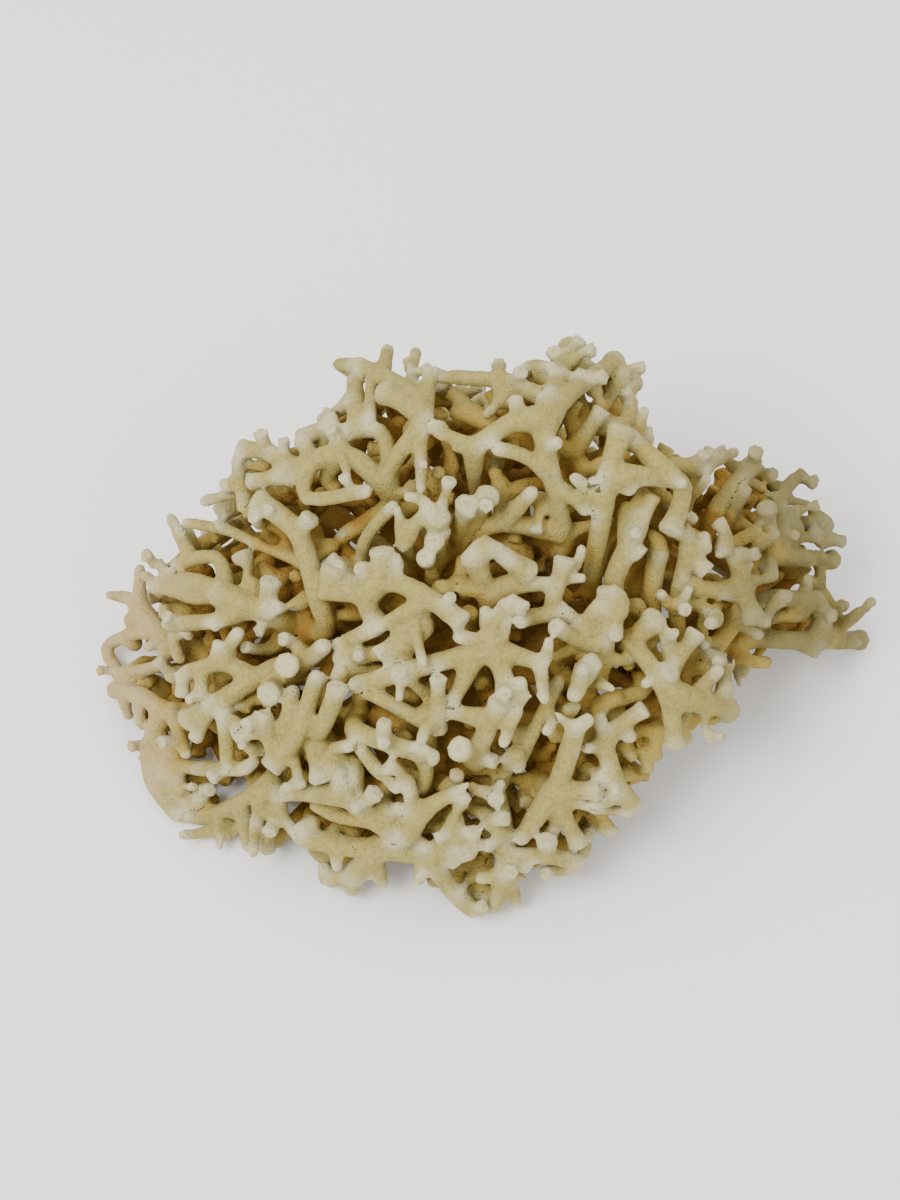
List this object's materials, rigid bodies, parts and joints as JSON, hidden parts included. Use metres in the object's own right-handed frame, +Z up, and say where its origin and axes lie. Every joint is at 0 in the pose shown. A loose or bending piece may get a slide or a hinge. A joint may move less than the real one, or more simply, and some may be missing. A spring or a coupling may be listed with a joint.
{
  "type": "branching coral",
  "caption": "Dried branching coral colony: a low domed thicket of forked, fused, blunt-tipped branches on a short holdfast, cut off flat where it grew.",
  "frame": {"origin": "centre of the flat cut under the holdfast, on the surface that the coral rests on", "axes": "+X along the colony's wide side, to the right as seen from the front; +Y to the back; +Z up, away from the cut"},
  "size_m": [0.2296, 0.1747, 0.1094],
  "materials": {
    "coral": "dry chalky skeleton: cream ivory with whiter pitted tips and golden brown hollows"
  },
  "bodies": {
    "root": {"holdfast": "coral", "crown_limb": "coral", "shoulder_limb": "coral", "right_limb": "coral", "upper_right_limb": "coral", "upper_left_limb": "coral", "left_limb": "coral", "far_left_limb": "coral", "lower_left_limb": "coral", "front_limb": "coral", "lower_right_limb": "coral", "centre_limb": "coral", "back_left_limb": "coral", "back_limb": "coral", "back_right_limb": "coral", "crown_fork": "coral", "cross_bar": "coral", "crown_back": "coral", "right_shoulder": "coral", "shoulder_strands": "coral", "right_knot": "coral", "mid_right_knobs": "coral", "right_white_knot": "coral", "right_ridge": "coral", "right_tips": "coral", "right_long_arm": "coral", "lower_right_spray": "coral", "centre_right": "coral", "centre_star": "coral", "centre_left_fan": "coral", "centre_fingers": "coral", "upper_left_ledge": "coral", "left_diagonal": "coral", "left_fan": "coral", "left_fingers": "coral", "far_left_arch": "coral", "lower_left_rim": "coral", "lower_left_teeth": "coral", "lower_left_spray": "coral", "front_foot": "coral", "front_left_arm": "coral", "front_knuckles": "coral", "lower_right_column": "coral", "low_right_spur": "coral", "centre_low": "coral", "left_cross_limb": "coral", "back_left_spray": "coral", "back_spray": "coral", "back_right_spray": "coral"}
  },
  "joints": []
}
